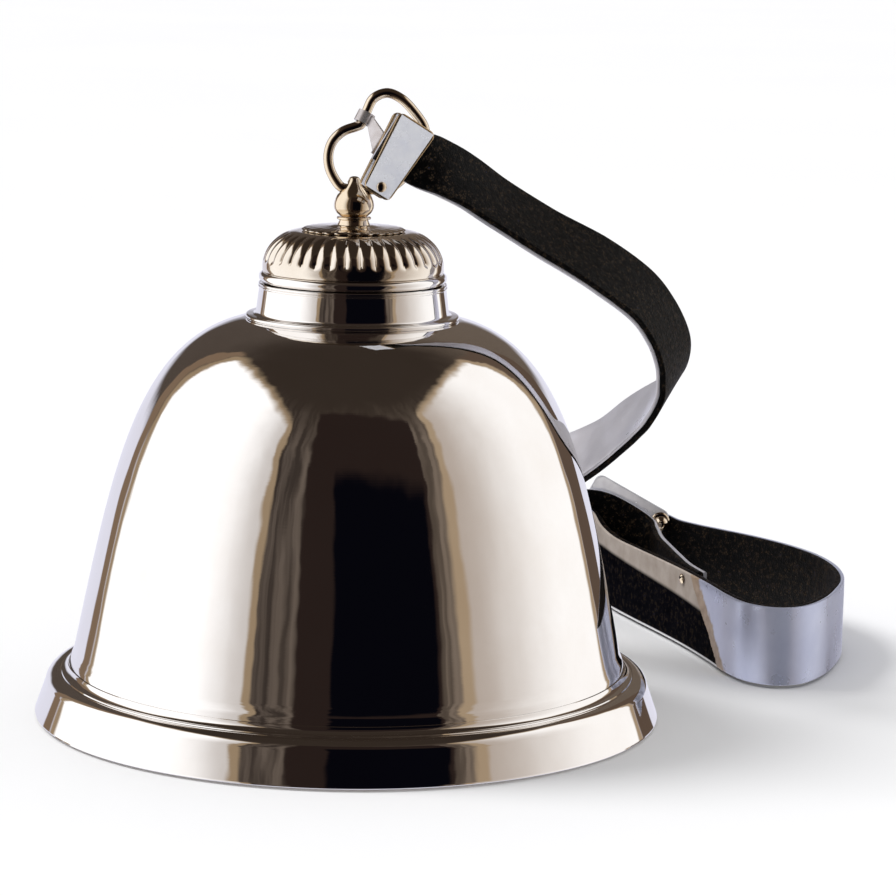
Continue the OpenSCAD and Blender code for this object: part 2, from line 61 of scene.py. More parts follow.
# Each stop of the main strip: where it passes, and the direction across it
STRAP_ROUTE = [
    ((5.67, -4.12, 111.13), (0.5, 0.15, 0.85)), ((8.93, -3.14, 109.04), (0.5, 0.15, 0.85)),
    ((12.03, -2.21, 107.05), (0.5, 0.17, 0.85)), ((16.6, -0.9, 105.0), (0.4, 0.6, 0.69)),
    ((21.2, 1.6, 102.4), (0.3, 0.76, 0.58)), ((27.6, 4.6, 97.9), (0.33, 0.87, 0.36)),
    ((36.8, 8.5, 92.0), (0.33, 0.89, 0.3)), ((47.6, 12.5, 85.7), (0.34, 0.87, 0.35)),
    ((55.8, 16.0, 79.7), (0.35, 0.87, 0.33)), ((60.2, 18.5, 74.2), (0.37, 0.88, 0.28)),
    ((62.9, 21.0, 68.3), (0.39, 0.87, 0.27)), ((63.4, 23.0, 63.5), (0.38, 0.85, 0.37)),
    ((62.4, 24.6, 59.8), (0.33, 0.88, 0.32)), ((60.3, 26.9, 56.8), (0.22, 0.9, 0.36)),
    ((57.7, 29.5, 54.1), (0.13, 0.91, 0.38)), ((54.6, 32.6, 51.0), (0.08, 0.91, 0.4)),
    ((48.9, 38.0, 45.2), (0.1, 0.88, 0.46)), ((40.4, 46.6, 38.8), (0.12, 0.72, 0.68)),
    ((30.2, 55.8, 33.6), (0.12, 0.52, 0.84)), ((20.0, 64.8, 29.8), (0.07, 0.38, 0.92)),
    ((13.8, 75.0, 23.0), (0.0, 0.3, 0.95)), ((12.8, 86.0, 16.8), (0.0, 0.2, 0.98)),
    ((16.4, 96.6, 12.2), (0.0, 0.1, 1.0)), ((25.0, 105.6, 10.0), (0.0, 0.03, 1.0)),
    ((36.5, 111.4, 10.4), (-0.03, 0.0, 1.0)), ((46.6, 113.8, 13.4), (0.06, 0.0, 1.0)),
    ((54.0, 114.0, 15.4), (0.26, 0.0, 0.96)), ((60.0, 113.2, 13.2), (0.36, 0.0, 0.93)),
    ((65.6, 110.6, 9.8), (0.22, 0.0, 0.97)), ((68.0, 104.6, 8.6), (0.06, 0.0, 1.0)),
    ((68.8, 96.0, 8.3), (0.0, 0.0, 1.0)), ((69.8, 86.0, 8.3), (0.0, 0.0, 1.0)),
    ((70.9, 76.0, 8.3), (0.0, 0.0, 1.0)), ((72.2, 66.0, 8.3), (0.0, 0.0, 1.0)),
    ((74.4, 57.0, 8.3), (0.0, 0.0, 1.0)),
]
STRAP_NARROW = [9.6, 9.8, 10.4, 11.2, 12.2, 14.0, 15.6]
LOOP_ROUTE = [
    (41.0, 109.8, 16.0), (47.5, 111.2, 14.2), (53.0, 109.0, 11.2), (56.4, 102.8, 8.8),
    (59.0, 94.0, 8.0), (62.6, 83.0, 8.0), (67.0, 70.5, 8.0), (71.3, 57.5, 8.0),
    (74.8, 45.0, 8.0), (77.6, 34.0, 8.0), (80.8, 26.6, 8.0), (86.0, 23.0, 8.0),
    (91.4, 25.0, 8.0), (96.2, 32.2, 8.0), (100.0, 42.0, 8.0), (102.8, 53.0, 8.0),
    (103.2, 65.0, 8.0), (101.0, 77.0, 8.0), (96.2, 88.0, 8.0), (89.6, 97.8, 8.0),
    (83.2, 105.2, 8.0), (77.8, 110.8, 8.1), (72.4, 114.7, 8.8), (66.0, 117.0, 11.2),
    (59.0, 118.4, 13.4),
]
LOOP_LIFT = 0.3
# The bent wire's centre line in its own plane, from the middle of the hole in the knob
HEART = [
    (0, 0), (-2.3, 0.2), (-3.8, 1.9), (-4.8, 4.2), (-4.95, 6.7), (-4.1, 9.1), (-2.2, 10.9),
    (0.4, 11.9), (1.2, 12.5), (2.2, 14.9), (3.2, 17.0), (4.9, 18.1), (6.7, 18.2), (9.0, 17.0),
    (11.2, 14.7), (13.0, 12.0), (13.1, 9.6), (12.1, 6.6), (10.2, 3.4), (8.0, 1.1), (5.8, 0.1),
    (3.8, -0.1), (2.3, -0.05),
]


def unit(v):
    return Vector(v).normalized()


def square_to(v, along):
    v, along = Vector(v), unit(along)
    return (v - v.dot(along) * along).normalized()


CLIP_MID = Vector((7.4, -3.6, 107.2))
CLIP_ACROSS = unit((0.5, 0.15, 0.85))
CLIP_ALONG = square_to((0.853, 0.257, -0.455), CLIP_ACROSS)
CLIP_CORNER, CLIP_RIVET = 1.2, (-6.1, 0.2)
CLOSING_MID = Vector((62.6, 115.1, 18.9))
CLOSING_LEN, CLOSING_W, CLOSING_CORNER = 19, 8, 1.8
CLOSING_ALONG = unit((0.87, -0.17, -0.46))
CLOSING_UP = square_to((0.36, 0.0, 0.93), CLOSING_ALONG)
STUD_DIR = unit((-0.05, 1, 0))
STUD_AT = CLOSING_MID + 7.8 * CLOSING_ALONG + 1.4 * CLOSING_UP - 3.05 * STUD_DIR
PIN_R, PIN_HEAD_R = 0.6, 1.1
TAIL_AT, TAIL_DIR, TAIL_LEN = (72.4, 58.8, 14.6), (0.95, 0.31, 0), 5
JOINING_AT = [(x, y, z) for x, y in ((44, 112), (48.6, 112.8)) for z in (10.8, 15.8)]
JOINING_DIR, JOINING_LEN = (-0.2, 0.98, 0), 4.4


# ---------------------------------------------------------------- curves
def bez(p, t):
    k = ((1 - t) ** 3, 3 * (1 - t) ** 2 * t, 3 * (1 - t) * t * t, t ** 3)
    return tuple(sum(k[i] * p[i][j] for i in range(4)) for j in range(2))


def arc(mid, r, start, end, n):
    return [(mid[0] + r * math.cos(math.radians(start + (end - start) * i / n)),
             mid[1] + r * math.sin(math.radians(start + (end - start) * i / n))) for i in range(n + 1)]


def spline(a, b, c, d, t):
    """A point between b and c on the smooth curve through all four."""
    a, b, c, d = Vector(a), Vector(b), Vector(c), Vector(d)
    bend = 2 * a - 5 * b + 4 * c - d
    return 0.5 * (2 * b + (c - a) * t + bend * t * t + (3 * b - a - 3 * c + d) * t ** 3)


def smooth(pts, steps):
    last = len(pts) - 1
    out = []
    for i in range(last):
        for s in range(steps):
            out.append(spline(pts[max(i - 1, 0)], pts[i], pts[i + 1], pts[min(i + 2, last)], s / steps))
    out.append(Vector(pts[last]))
    return out


# ---------------------------------------------------------------- meshes
SAME_POINT, NO_LENGTH = 1e-7, 1e-8    # metres
SHARP = 32                            # degrees between faces, from which an edge stays hard


def linked(name, data):
    obj = bpy.data.objects.new(name, data)
    bpy.context.scene.collection.objects.link(obj)
    return obj


def shade(data, sharp=SHARP):
    data.shade_smooth()
    data.set_sharp_from_angle(angle=math.radians(sharp))


def mesh_object(name, verts, faces, sharp):
    data = bpy.data.meshes.new(name)
    data.from_pydata([tuple(c * MM for c in v) for v in verts], [], faces)
    bm = bmesh.new()
    bm.from_mesh(data)
    bmesh.ops.remove_doubles(bm, verts=bm.verts, dist=SAME_POINT)
    bmesh.ops.dissolve_degenerate(bm, edges=bm.edges, dist=NO_LENGTH)
    bmesh.ops.recalc_face_normals(bm, faces=bm.faces)
    bm.to_mesh(data)
    bm.free()
    shade(data, sharp)
    return linked(name, data)


def rings_mesh(name, rings, closed=False, capped=True, sharp=SHARP):
    """A skin over rings of points; closed joins the last ring to the first."""
    n, count = len(rings[0]), len(rings)
    verts = [p for ring in rings for p in ring]
    faces = []
    for k in range(count if closed else count - 1):
        m = (k + 1) % count
        for i in range(n):
            j = (i + 1) % n
            faces.append((k * n + i, k * n + j, m * n + j, m * n + i))
    if not closed and capped:
        faces.append(tuple(range(n - 1, -1, -1)))
        faces.append(tuple((count - 1) * n + i for i in range(n)))
    return mesh_object(name, verts, faces, sharp)


def lathe(name, profile, around, closed=False, inset=None, place=None, sharp=SHARP):
    """Turns a profile of (radius, height) about Z. inset(k, angle) cuts the radius back."""
    rings = []
    for k, (r, z) in enumerate(profile):
        ring = []
        for i in range(around):
            a = 2 * math.pi * i / around
            rr = r - (inset(k, a) if inset else 0)
            p = Vector((rr * math.cos(a), rr * math.sin(a), z))
            ring.append(place(p) if place else p)
        rings.append(ring)
    return rings_mesh(name, rings, closed=closed, capped=False, sharp=sharp)


def rounded(profile, r, steps):
    """Rounds the corners of an open profile that turn by more than 25 degrees."""
    straight, reach = math.radians(25), 0.45
    out = [profile[0]]
    for a, b, c in zip(profile, profile[1:], profile[2:]):
        u, v = Vector(a) - Vector(b), Vector(c) - Vector(b)
        if math.pi - u.angle(v) < straight:
            out.append(b)
            continue
        cut = min(r, reach * u.length, reach * v.length)
        p, q = Vector(b) + u.normalized() * cut, Vector(b) + v.normalized() * cut
        for i in range(steps + 1):
            t = i / steps
            out.append(tuple((1 - t) ** 2 * p + 2 * t * (1 - t) * Vector(b) + t * t * q))
    out.append(profile[-1])
    return out


def in_plane(mid, along, up):
    out = along.cross(up)
    return lambda p: mid + p[0] * along + p[1] * up + p[2] * out


def band(name, pts, across, widths, low, high):
    """A strip of leather with rolled edges: low and high are the offsets of its two faces."""
    last, cols = len(pts) - 1, 10
    mid, half_t = (low + high) / 2, (high - low) / 2
    rings = []
    for k, p in enumerate(pts):
        t = (pts[min(k + 1, last)] - pts[max(k - 1, 0)]).normalized()
        g = square_to(across[k], t)
        out = t.cross(g)
        flat = widths[k] / 2 - EDGE_R
        ups = [-flat + 2 * flat * i / cols for i in range(cols + 1)]
        section = [(u, mid - half_t) for u in ups]
        section += arc((flat, mid - half_t + EDGE_R), EDGE_R, -70, -20, 2)
        section += arc((flat, mid + half_t - EDGE_R), EDGE_R, 20, 70, 2)
        section += [(-u, mid + half_t) for u in ups]
        section += arc((-flat, mid + half_t - EDGE_R), EDGE_R, 110, 160, 2)
        section += arc((-flat, mid - half_t + EDGE_R), EDGE_R, 200, 250, 2)
        rings.append([p + a * g + b * out for a, b in section])
    return rings_mesh(name, rings, sharp=40)


def outline(length, far_w, near_w, corner):
    """A plate's outline with round corners, far_w wide at its +X end and near_w at the other."""
    pts = []
    for sx, w, start in ((1, far_w, 0), (-1, near_w, 90), (-1, -near_w, 180), (1, -far_w, 270)):
        mid = (sx * (length / 2 - corner), w / 2 - math.copysign(corner, w))
        pts += arc(mid, corner, start, start + 90, 8)
    return pts


def plate(name, pts, place):
    """A flat piece with rounded-over edges on both faces."""
    c = Vector((sum(p[0] for p in pts) / len(pts), sum(p[1] for p in pts) / len(pts)))
    top = PLATE_T / 2
    edge = [(PLATE_BEVEL * 2.5, top), (PLATE_BEVEL, top), (PLATE_BEVEL * 0.3, top - PLATE_BEVEL * 0.3),
            (0, top - PLATE_BEVEL)]
    rings = []
    for by, h in [(by, -h) for by, h in edge] + edge[::-1]:
        shrunk = [Vector(p) - (Vector(p) - c).normalized() * by for p in pts]
        rings.append([place((p[0], p[1], h)) for p in shrunk])
    return rings_mesh(name, rings, sharp=50)


def rivet(name, at, direction, shank_r, head_r, length):
    """A shank with a low domed head at each end. It may point any way but straight up."""
    side = square_to((0, 0, 1), direction)
    dome = head_r * 0.45
    head = [(shank_r, 0), (head_r, 0)]
    head += [(head_r * math.cos(math.radians(a)), dome * math.sin(math.radians(a))) for a in (15, 35, 55, 72)]
    head += [(0.0, dome)]
    profile = [(r, -length / 2 - z) for r, z in reversed(head)] + [(r, length / 2 + z) for r, z in head]
    return lathe(name, profile, 40, place=in_plane(Vector(at), side, unit(direction).cross(side)))


# ---------------------------------------------------------------- materials
class Nodes:
    """A short way to write a node tree."""

    def __init__(self, tree):
        self.tree = tree
        tree.nodes.clear()

    def new(self, kind, **values):
        n = self.tree.nodes.new(kind)
        for k, v in values.items():
            setattr(n, k, v)
        return n

    def feed(self, socket, value):
        if isinstance(value, bpy.types.NodeSocket):
            self.tree.links.new(value, socket)
        elif value is not None:
            socket.default_value = value

    def math(self, op, a, b=None):
        n = self.new("ShaderNodeMath", operation=op)
        self.feed(n.inputs[0], a)
        self.feed(n.inputs[1], b)
        return n.outputs[0]

    def times(self, a, b):
        return self.math("MULTIPLY", a, b)

    def minus(self, a, b):
        return self.math("SUBTRACT", a, b)

    def vector(self, op, *values, out="Vector"):
        n = self.new("ShaderNodeVectorMath", operation=op)
        for socket, value in zip(n.inputs, values):
            self.feed(socket, value)
        return n.outputs[out]

    def split(self, vector):
        n = self.new("ShaderNodeSeparateXYZ")
        self.feed(n.inputs[0], vector)
        return n.outputs

    def step(self, value, low, high):
        """0 below low, 1 above high, smooth in between."""
        n = self.new("ShaderNodeMapRange", interpolation_type="SMOOTHSTEP")
        self.feed(n.inputs["Value"], value)
        self.feed(n.inputs["From Min"], low)
        self.feed(n.inputs["From Max"], high)
        return n.outputs["Result"]

    def step_mm(self, value, low, high):
        return self.step(value, low * MM, high * MM)

    def below(self, value, top, soft):
        """1 below top and 0 above it, with a soft edge."""
        return self.minus(1.0, self.step(value, top - soft, top + soft))

    def between(self, value, low, high, soft):
        return self.times(self.step(value, low - soft, low + soft), self.below(value, high, soft))

    def mix(self, t, a, b):
        n = self.new("ShaderNodeMix", data_type="RGBA", blend_type="MIX")
        self.feed(n.inputs[0], t)
        self.feed(n.inputs[6], a if isinstance(a, bpy.types.NodeSocket) else (*a, 1))
        self.feed(n.inputs[7], b if isinstance(b, bpy.types.NodeSocket) else (*b, 1))
        return n.outputs[2]

    def ramp(self, value, stops):
        n = self.new("ShaderNodeValToRGB")
        self.feed(n.inputs[0], value)
        els = n.color_ramp.elements
        while len(els) < len(stops):
            els.new(0.5)
        for e, (pos, colour) in zip(els, stops):
            e.position = pos
            e.color = (*colour, 1)
        return n.outputs[0]

    def coords(self, scale=(1, 1, 1)):
        n = self.new("ShaderNodeTexCoord")
        m = self.new("ShaderNodeMapping")
        self.feed(m.inputs["Vector"], n.outputs["Object"])
        m.inputs["Scale"].default_value = scale
        return m.outputs[0]

    def noise(self, vector, scale, detail=3.0, rough=0.5, out="Fac"):
        n = self.new("ShaderNodeTexNoise")
        self.feed(n.inputs["Vector"], vector)
        n.inputs["Scale"].default_value = scale
        n.inputs["Detail"].default_value = detail
        n.inputs["Roughness"].default_value = rough
        return n.outputs[out]

    def spread(self, noise, low, high):
        """Stretches the middle of a noise, 0.3 to 0.7, over low to high."""
        n = self.new("ShaderNodeMapRange")
        self.feed(n.inputs["Value"], noise)
        n.inputs["From Min"].default_value = 0.3
        n.inputs["From Max"].default_value = 0.7
        n.inputs["To Min"].default_value = low
        n.inputs["To Max"].default_value = high
        return n.outputs["Result"]

    def bump(self, height, depth, strength=1.0, normal=None):
        """Relief with its depth in mm."""
        n = self.new("ShaderNodeBump")
        n.inputs["Strength"].default_value = strength
        n.inputs["Distance"].default_value = depth * MM
        self.feed(n.inputs["Height"], height)
        if normal is not None:
            self.feed(n.inputs["Normal"], normal)
        return n.outputs[0]


def material(name):
    m = bpy.data.materials.new(name)
    m.use_nodes = True
    n = Nodes(m.node_tree)
    shader = n.new("ShaderNodeBsdfPrincipled")
    out = n.new("ShaderNodeOutputMaterial")
    n.feed(out.inputs[0], shader.outputs[0])
    return m, n, shader


def polished(name, colour, tint, rough, wave, line_scale=(30, 30, 4000)):
    """Mirror-polished metal: broad unevenness from spinning, fine polishing lines, faint tarnish."""
    m, n, s = material(name)
    at = n.coords()
    stain = n.noise(at, 55, 5, 0.6)
    n.feed(s.inputs["Base Color"], n.mix(n.spread(stain, 0.0, 1.0), colour, tint))
    s.inputs["Metallic"].default_value = 1.0
    smear = n.noise(at, 240, 4, 0.65)
    n.feed(s.inputs["Roughness"], n.spread(smear, *rough))
    fine = n.bump(n.noise(n.coords(line_scale), 1, 2, 0.5), 0.002)
    n.feed(s.inputs["Normal"], n.bump(n.noise(at, 70, 2, 0.4), wave, normal=fine))
    return m


def satin(name, colour, tint, rough, grain, metallic=1.0, line_scale=(1, 1, 1)):
    m, n, s = material(name)
    at = n.coords(line_scale)
    n.feed(s.inputs["Base Color"], n.mix(n.spread(n.noise(at, 400, 4, 0.6), 0, 1), colour, tint))
    s.inputs["Metallic"].default_value = metallic
    n.feed(s.inputs["Roughness"], n.spread(n.noise(at, 900, 3), *rough))
    n.feed(s.inputs["Normal"], n.bump(n.noise(at, 1500, 3), grain))
    return m


def leather(name):
    """Black leather with a coarse pressed grain, warm brown specks painted as glints, a few dark blue specks,
    and creases painted near black as shade.
    """
    m, n, s = material(name)
    at = n.coords()
    cell = n.new("ShaderNodeTexVoronoi", feature="DISTANCE_TO_EDGE")
    n.feed(cell.inputs["Vector"], at)
    cell.inputs["Scale"].default_value = 1500
    crease = n.step(cell.outputs["Distance"], 0.0, 0.22)
    # Painted glints: the brown stop of this ramp gives warm specks that stand in for glints on the grain
    colour = n.ramp(n.noise(at, 900, 4, 0.7), [
        (0.40, (0.0010, 0.0010, 0.0015)), (0.53, (0.002, 0.002, 0.003)), (0.59, (0.050, 0.032, 0.017)),
        (0.65, (0.003, 0.003, 0.004)), (0.72, (0.020, 0.026, 0.065))])
    # Painted shade: the creases between the grain cells are painted near black
    n.feed(s.inputs["Base Color"], n.mix(crease, (0.001, 0.001, 0.001), colour))
    n.feed(s.inputs["Roughness"], n.spread(n.noise(at, 1400, 2), 0.42, 0.62))
    s.inputs["Specular IOR Level"].default_value = 0.09
    first = n.bump(crease, 0.05, 0.7)
    n.feed(s.inputs["Normal"], n.bump(n.noise(at, 2600, 3), 0.05, normal=first))
    return m


FOIL_GRAIN, FOIL_WAVE = 0.012, 0.15


def foil(name):
    """Metallic foil face on leather: silvery lavender, faint smudges and handling marks."""
    m, n, s = material(name)
    at = n.coords()
    base = n.mix(n.spread(n.noise(at, 90, 4, 0.6), 0, 1), (0.80, 0.80, 0.87), (0.70, 0.70, 0.78))
    smudge = n.step(n.noise(n.coords((1, 1, 0.6)), 210, 5, 0.68), 0.66, 0.76)
    n.feed(s.inputs["Base Color"], n.mix(smudge, base, (0.38, 0.37, 0.44)))
    s.inputs["Metallic"].default_value = 0.6
    n.feed(s.inputs["Roughness"], n.spread(n.noise(at, 160, 4, 0.6), 0.26, 0.40))
    first = n.bump(n.noise(at, 1100, 3, 0.5), FOIL_GRAIN)
    n.feed(s.inputs["Normal"], n.bump(n.noise(at, 60, 2), FOIL_WAVE, normal=first))
    return m


# Where the look of the loop's near wall changes: each pair is the start and the end of a blend. There the
# wall is painted black as a dark reflection, with a pale band of painted reflection along its top
WALL_END_X, WALL_END_Y = (79.8, 80.3), (107.5, 108)
TAN_LINE, DARK_REFLECTION_FROM, LINE_SLANT, LINE_WANDER = (31.8, 33.5), (37.0, 37.6), 1.06, 6
PALE_REFLECTION_BAND, BAND_RISE, BOTTOM_LINE = (6.6, 7.6), 0.061, (0.7, 1.0)


def loop_foil(name):
    """The loop's foil: lavender round the end; along the near wall a tan line, then black grain painted as a
    dark reflection of the strap behind the bell, with a pale painted reflection along its top.
    """
    m, n, s = material(name)
    at = n.coords()
    x, y, z = n.split(at)
    ragged = n.times(n.minus(n.noise(at, 260, 4, 0.6), 0.5), LINE_WANDER * MM)
    edge = n.math("ADD", n.minus(y, n.times(z, LINE_SLANT)), ragged)
    near = n.times(n.minus(1.0, n.step_mm(x, *WALL_END_X)), n.minus(1.0, n.step_mm(y, *WALL_END_Y)))
    # Painted reflection: from this line on, the near wall is painted black with grain and made matt, standing
    # in for the dark reflection of the strap behind the bell
    dark_reflection = n.times(near, n.step_mm(edge, *DARK_REFLECTION_FROM))
    # A tan line starts here, and from it on the foil is drawn without metal
    tan_onward = n.times(near, n.step_mm(edge, *TAN_LINE))
    # Painted reflection: a pale beige band along the top of the black stretch
    pale_reflection = n.step_mm(n.minus(z, n.times(y, BAND_RISE)), *PALE_REFLECTION_BAND)
    smudge = n.step(n.noise(at, 210, 5, 0.68), 0.64, 0.76)
    lavender = n.mix(n.spread(n.noise(at, 90, 4, 0.6), 0, 1), (0.56, 0.59, 0.74), (0.47, 0.50, 0.66))
    colour = n.mix(smudge, lavender, (0.34, 0.35, 0.45))
    tan = n.mix(n.noise(at, 500, 3), (0.16, 0.10, 0.06), (0.50, 0.38, 0.28))
    colour = n.mix(tan_onward, colour, tan)
    grain = n.ramp(n.noise(at, 800, 4, 0.7), [
        (0.40, (0.0015, 0.0015, 0.0025)), (0.54, (0.003, 0.003, 0.005)), (0.60, (0.020, 0.014, 0.009)),
        (0.66, (0.004, 0.004, 0.007)), (0.73, (0.012, 0.016, 0.045))])
    wall = n.mix(pale_reflection, grain, n.mix(n.noise(at, 300, 3), (0.30, 0.25, 0.21), (0.52, 0.46, 0.42)))
    wall = n.mix(n.step_mm(z, *BOTTOM_LINE), (0.80, 0.80, 0.82), wall)
    n.feed(s.inputs["Base Color"], n.mix(dark_reflection, colour, wall))
    n.feed(s.inputs["Metallic"], n.times(n.minus(1.0, tan_onward), 0.45))
    n.feed(s.inputs["Roughness"], n.math("ADD", n.spread(n.noise(at, 160, 4, 0.6), 0.24, 0.40),
                                         n.times(dark_reflection, 0.35)))
    n.feed(s.inputs["Specular IOR Level"], n.times(n.minus(1.02, dark_reflection), 0.2))
    first = n.bump(n.noise(at, 1100, 3, 0.5), FOIL_GRAIN)
    n.feed(s.inputs["Normal"], n.bump(n.noise(at, 60, 2), FOIL_WAVE, normal=first))
    return m


def clip_metal(name):
    """Bright plate with a thin gilt line round its edge."""
    gilt_edge = (0.32, 0.44)
    m, n, s = material(name)
    at = n.coords()
    offset = n.vector("SUBTRACT", at, CLIP_MID * MM)
    u, v = (n.vector("DOT_PRODUCT", offset, axis, out="Value") for axis in (CLIP_ACROSS, CLIP_ALONG))
    taper = (CLIP_W - CLIP_LOW_W) / 2 / PLATE_LEN
    half_w = n.math("ADD", n.times(u, taper), (CLIP_W + CLIP_LOW_W) / 4 * MM)
    in_long = n.minus(PLATE_LEN / 2 * MM, n.math("ABSOLUTE", u))
    in_wide = n.minus(half_w, n.math("ABSOLUTE", v))
    face = n.step_mm(n.math("MINIMUM", in_long, in_wide), *gilt_edge)
    cloud = n.mix(n.spread(n.noise(at, 300, 4, 0.6), 0, 1), (0.93, 0.94, 0.98), (0.80, 0.82, 0.90))
    n.feed(s.inputs["Base Color"], n.mix(face, (0.60, 0.44, 0.26), cloud))
    n.feed(s.inputs["Metallic"], n.minus(0.95, n.times(face, 0.75)))
    n.feed(s.inputs["Roughness"], n.spread(n.noise(at, 500, 3), 0.20, 0.32))
    return m


NICKEL = polished("polished_nickel", colour=(0.90, 0.885, 0.87), tint=(0.85, 0.82, 0.79),
                  rough=(0.02, 0.05), wave=0.11)
NICKEL_CAP = polished("polished_nickel_cap", colour=(0.84, 0.79, 0.72), tint=(0.74, 0.66, 0.56),
                      rough=(0.05, 0.13), wave=0.03)
GOLD = polished("pale_gold", colour=(0.82, 0.72, 0.58), tint=(0.72, 0.59, 0.43),
                rough=(0.06, 0.14), wave=0.02, line_scale=(60, 60, 3000))
CLIP = clip_metal("clip_plate")
PLATE = satin("closing_metal", colour=(0.90, 0.91, 0.95), tint=(0.80, 0.80, 0.86),
              rough=(0.16, 0.28), grain=0.001, metallic=0.5)
HOOK = satin("hook_metal", colour=(0.62, 0.59, 0.60), tint=(0.48, 0.44, 0.43),
             rough=(0.20, 0.34), grain=0.001, metallic=0.75)
FOIL = foil("foil_leather")
LOOP_FOIL = loop_foil("foil_leather_loop")
LEATHER = leather("grained_leather")
STEEL = satin("plain_steel", colour=(0.56, 0.56, 0.57), tint=(0.44, 0.43, 0.43),
              rough=(0.28, 0.45), grain=0.01, line_scale=(1, 1, 6))
CAST = satin("cast_brass", colour=(0.60, 0.45, 0.22), tint=(0.42, 0.30, 0.15),
             rough=(0.26, 0.44), grain=0.02)


def dress(obj, mat):
    obj.data.materials.clear()
    obj.data.materials.append(mat)


def finish_piece(obj, body, mat, node):
    dress(obj, mat)
    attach(obj, body)
    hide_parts(node)


# ---------------------------------------------------------------- bell
def bell_body():
    """The spun dome: one curve outside, and the same curve one wall further in."""
    steps, nudge = 90, 0.001
    outer = [bez(SIDE, i / steps) for i in range(steps + 1)]
    inner = []
    for i in range(steps, -1, -1):
        a, b = bez(SIDE, max(i / steps - nudge, 0)), bez(SIDE, min(i / steps + nudge, 1))
        d = Vector((b[0] - a[0], b[1] - a[1])).normalized()
        r, z = outer[i]
        inner.append((r - WALL * d.y, z + WALL * d.x))
    waist_z, inner_crown = WAIST[1], CROWN_Z - WALL
    shell = [(SKIRT_R - WALL, SKIRT_Z), (SKIRT_R, SKIRT_Z), (SKIRT_R, waist_z - 2.4)]
    shell += [(SKIRT_R - 0.08, waist_z - 1.4), (SKIRT_R - 0.35, waist_z - 0.7)] + outer
    shell += [(CROWN_R - 4, CROWN_Z), (STUD_BORE, CROWN_Z)]
    shell += [(STUD_BORE, inner_crown), (CROWN_R - WALL, inner_crown)]
    shell += [p for p in inner if p[1] < inner_crown - 0.3] + [(SKIRT_R - WALL, waist_z - 3)]
    return lathe("bell_body", shell, 256, closed=True)


def foot_rim():
    inner_r = SKIRT_R + SEAT_GAP
    roll, cove = (MOUTH_R - 4.4, 5.9), (MOUTH_R - 5.05, 9.85)
    rim = [(inner_r, 0), (MOUTH_R - 0.5, 0), (MOUTH_R - 0.25, 0.05), (MOUTH_R - 0.06, 0.2), (MOUTH_R, 0.45)]
    rim += arc(roll, 2.4, 8, 104, 24) + arc(cove, 1.45, 268, 184, 18) + [(inner_r, cove[1] - 0.05)]
    return lathe("foot_rim", rim, 256, closed=True)


def neck_sleeve():
    """The collar, with its base flange, a small cove above that and two fine lines near the top."""
    foot_z, top_z = CROWN_Z + SEAT_GAP, CROWN_Z + 6.9
    neck = [(HOLLOW_R, foot_z), (FLANGE_R - 0.2, foot_z)]
    neck += arc((FLANGE_R - 0.4, foot_z + 0.45), 0.4, -60, 90, 12)
    neck += arc((NECK_R + 0.75, foot_z + 1.6), 0.75, 270, 184, 10)
    lines = [(NECK_R, foot_z + 1.6), (NECK_R - 0.55, top_z - 0.95), (NECK_R - 0.35, top_z - 0.85),
             (NECK_R - 0.35, top_z - 0.6), (NECK_R - 0.6, top_z - 0.5), (NECK_R - 0.4, top_z - 0.38),
             (NECK_R - 0.4, top_z - 0.12), (NECK_R - 0.55, top_z)]
    neck += rounded(lines, 0.06, 3)[1:] + [(HOLLOW_R, top_z)]
    return lathe("neck_sleeve", neck, 224, closed=True)


def neck_bead():
    bead_r, mid_z = 1, CROWN_Z + 6.95 + 1
    bead = [(HOLLOW_R, mid_z - bead_r)] + arc((CAP_R - 0.35, mid_z), bead_r, -90, 90, 20)
    return lathe("neck_bead", bead + [(HOLLOW_R, mid_z + bead_r)], 224, closed=True)


def fluted_dome():
    """The pressed cap: hollow flutes run up its side and fade out before both edges."""
    rows, deep, first, last = 48, 0.52, 0.06, 0.86
    curve = [(CAP_R, CAP_Z + 1.1), (CAP_R - 0.1, CAP_Z + 4.6), (CAP_R - 3.2, CAP_TOP_Z), (SEAT_R, CAP_TOP_Z)]
    inside = [(STUD_BORE, CAP_TOP_Z - 1), (SEAT_R - 0.6, CAP_TOP_Z - 1), (SEAT_R - 0.6, CAP_Z + 5.2),
              (CAP_R - 2.2, CAP_Z + 5.0), (CAP_R - 2.2, CAP_Z), (CAP_R - 0.12, CAP_Z),
              (CAP_R, CAP_Z + 0.12), (CAP_R, CAP_Z + 0.9)]

    def flute(k, a):
        s = (k - len(inside)) / rows
        if not first < s < last:
            return 0.0
        fade = min(1.0, (s - first) / 0.1, (last - s) / 0.16)
        fade = fade * fade * (3 - 2 * fade)
        return deep * fade * (1 - abs(math.cos(a * FLUTES / 2)) ** 0.8)

    profile = inside + [bez(curve, k / rows) for k in range(rows + 1)] + [(STUD_BORE, CAP_TOP_Z)]
    return lathe("fluted_dome", profile, FLUTES * 16, closed=True, inset=flute, sharp=60)


def top_rosette():
    base_z, petal_deep, petals_from = CAP_TOP_Z + SEAT_GAP, 0.34, 5
    rise = [(STUD_BORE, 0), (9.55, 0), (9.75, 0.08), (9.88, 0.25), (9.75, 0.42), (9.2, 0.62), (8.2, 0.74),
            (7.2, 0.82), (6.3, 0.86), (5.4, 0.9), (4.5, 0.98), (3.6, 1.15), (STUD_BORE, 1.15)]

    def petal(k, a):
        return petal_deep * (1 - abs(math.cos(a * PETALS / 2))) if rise[k][0] > petals_from else 0.0

    profile = [(r, base_z + z) for r, z in rise]
    return lathe("top_rosette", profile, PETALS * 14, closed=True, inset=petal, sharp=60)


